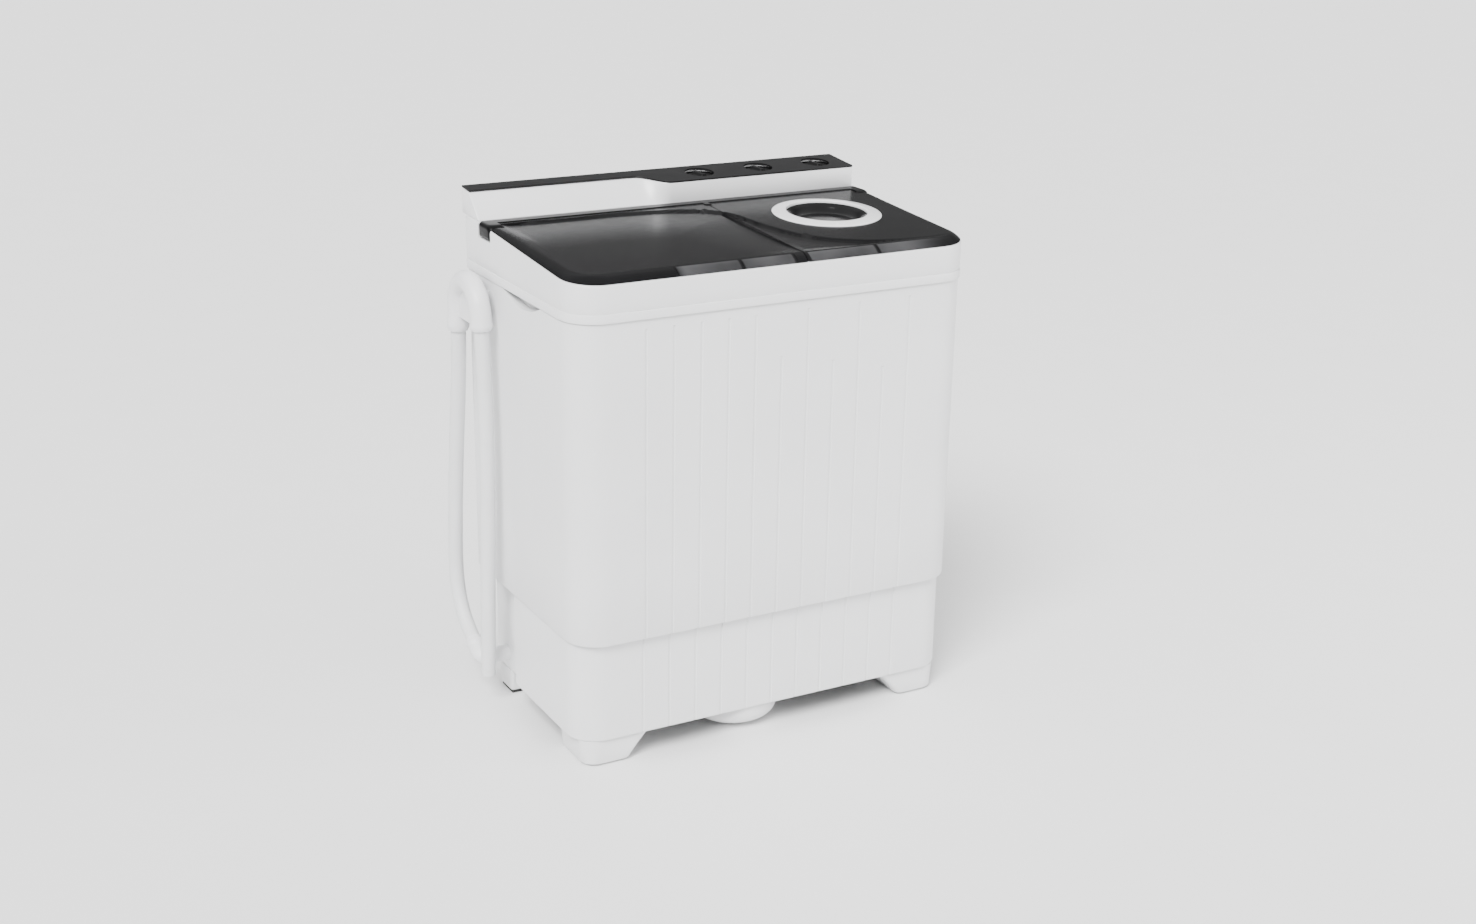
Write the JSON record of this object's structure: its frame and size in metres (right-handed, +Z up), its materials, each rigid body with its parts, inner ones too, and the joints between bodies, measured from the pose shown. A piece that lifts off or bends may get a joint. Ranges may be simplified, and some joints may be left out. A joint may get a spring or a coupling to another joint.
{
  "type": "twin tub washer",
  "caption": "Free-standing twin tub washing machine with a wash tub, a spin basket, two smoked lids, a rear control ridge and a side drain hose.",
  "frame": {"origin": "on the floor, under the middle of the cabinet without its drain hose", "axes": "+X to the right seen from the front, +Y to the back, +Z up"},
  "size_m": [0.689, 0.4231, 0.791],
  "materials": {
    "white_shell": "smooth moulded polypropylene with a soft gloss",
    "white_foot": "plain moulded polypropylene",
    "white_ring": "polished white plastic",
    "smoked_lid": "smoked styrene, polished",
    "smoked_window": "dark smoked styrene, polished",
    "black_trim": "black moulded plastic, satin",
    "black_knob": "black moulded plastic, polished",
    "tub_plastic": "pale blue-white polypropylene, smooth",
    "drive_plastic": "grey nylon",
    "hose_plastic": "pale grey soft PVC",
    "guide_plastic": "pale grey stiff plastic",
    "rubber": "plain moulded rubber",
    "steel": "turned steel",
    "zinc_steel": "zinc-plated pressed steel",
    "motor_paint": "dark stoved paint"
  },
  "bodies": {
    "cabinet": {"outer_body": "white_shell", "base_shell": "white_shell", "rear_base_cover": "white_shell", "top_frame": "white_shell", "console_housing": "white_shell", "back_panel": "white_shell", "foot_front_left": "white_foot", "foot_front_right": "white_foot", "foot_rear_left": "white_foot", "foot_rear_right": "white_foot", "pump_cover": "white_foot", "hose_bracket": "white_foot", "foot_pads": "rubber", "deck_panel": "black_trim", "hinge_rail": "black_trim", "console_fascia": "black_trim", "drain_hose": "hose_plastic", "hose_guide": "guide_plastic", "hose_spout": "guide_plastic", "wash_timer": "drive_plastic", "wash_selector_switch": "drive_plastic", "spin_timer": "drive_plastic", "inlet_socket": "drive_plastic", "wash_tub": "tub_plastic", "filter_track": "tub_plastic", "drain_channel": "tub_plastic", "drain_grille": "tub_plastic", "spin_tub": "tub_plastic", "bearing_housing": "zinc_steel", "wash_motor": "motor_paint", "drive_belt": "rubber", "shaft_seal": "rubber", "spin_motor": "motor_paint", "motor_springs": "rubber", "motor_plate": "zinc_steel", "brake_pin": "steel", "drain_pump": "drive_plastic", "outlet_pipe": "tub_plastic", "sump_hose": "rubber", "capacitors": "drive_plastic", "lid_switch": "drive_plastic", "panel_screws": "steel", "cord_grommet": "rubber"},
    "wash_lid_assembly": {"wash_lid": "smoked_lid"},
    "spin_lid_assembly": {"spin_lid": "smoked_lid", "spin_lid_ring": "white_ring", "spin_lid_window": "smoked_window"},
    "pulsator_drive": {"pulsator": "tub_plastic", "pulsator_shaft": "steel", "driven_pulley": "drive_plastic"},
    "wash_rotor": {"motor_pulley": "zinc_steel"},
    "spin_drum": {"spin_basket": "tub_plastic", "balance_ring": "tub_plastic", "spin_shaft": "steel", "brake_disc": "zinc_steel"},
    "wash_timer_dial": {"wash_timer_knob": "black_knob"},
    "wash_selector_dial": {"wash_selector_knob": "black_knob"},
    "spin_timer_dial": {"spin_timer_knob": "black_knob"},
    "filter_cassette": {"lint_filter": "tub_plastic"},
    "brake_arm": {"brake_lever": "zinc_steel"}
  },
  "joints": [
    {"name": "wash_lid_hinge", "type": "hinge", "parent": "cabinet", "child": "wash_lid_assembly", "pos_m": [-0.134, 0.105, 0.747], "axis": [-1, 0, 0], "range_deg": [0, 95]},
    {"name": "spin_lid_hinge", "type": "hinge", "parent": "cabinet", "child": "spin_lid_assembly", "pos_m": [0.174, 0.105, 0.747], "axis": [-1, 0, 0], "range_deg": [0, 95]},
    {"name": "pulsator_spin", "type": "hinge", "parent": "cabinet", "child": "pulsator_drive", "pos_m": [-0.146, -0.038, 0.3], "axis": [0, 0, 1], "continuous": true},
    {"name": "wash_motor_spin", "type": "hinge", "parent": "cabinet", "child": "wash_rotor", "pos_m": [0, 0.05, 0.2], "axis": [0, 0, 1], "continuous": true},
    {"name": "basket_spin", "type": "hinge", "parent": "cabinet", "child": "spin_drum", "pos_m": [0.188, -0.006, 0.3], "axis": [0, 0, 1], "continuous": true},
    {"name": "wash_timer_turn", "type": "hinge", "parent": "cabinet", "child": "wash_timer_dial", "pos_m": [0.06, 0.168, 0.785], "axis": [0, 0, -1], "range_deg": [0, 300]},
    {"name": "wash_selector_turn", "type": "hinge", "parent": "cabinet", "child": "wash_selector_dial", "pos_m": [0.165, 0.168, 0.785], "axis": [0, 0, -1], "range_deg": [-60, 60]},
    {"name": "spin_timer_turn", "type": "hinge", "parent": "cabinet", "child": "spin_timer_dial", "pos_m": [0.27, 0.168, 0.785], "axis": [0, 0, -1], "range_deg": [0, 300]},
    {"name": "lint_filter_slide", "type": "slide", "parent": "cabinet", "child": "filter_cassette", "axis": [0, 0, 1], "range_m": [0, 0.1]},
    {"name": "brake_lever_swing", "type": "hinge", "parent": "cabinet", "child": "brake_arm", "pos_m": [0.272, 0.062, 0.21], "axis": [0, 0, -1], "range_deg": [0, 3]}
  ],
  "couplings": [
    {"joint": "wash_motor_spin", "follows": "pulsator_spin", "ratio": 3.6364}
  ]
}
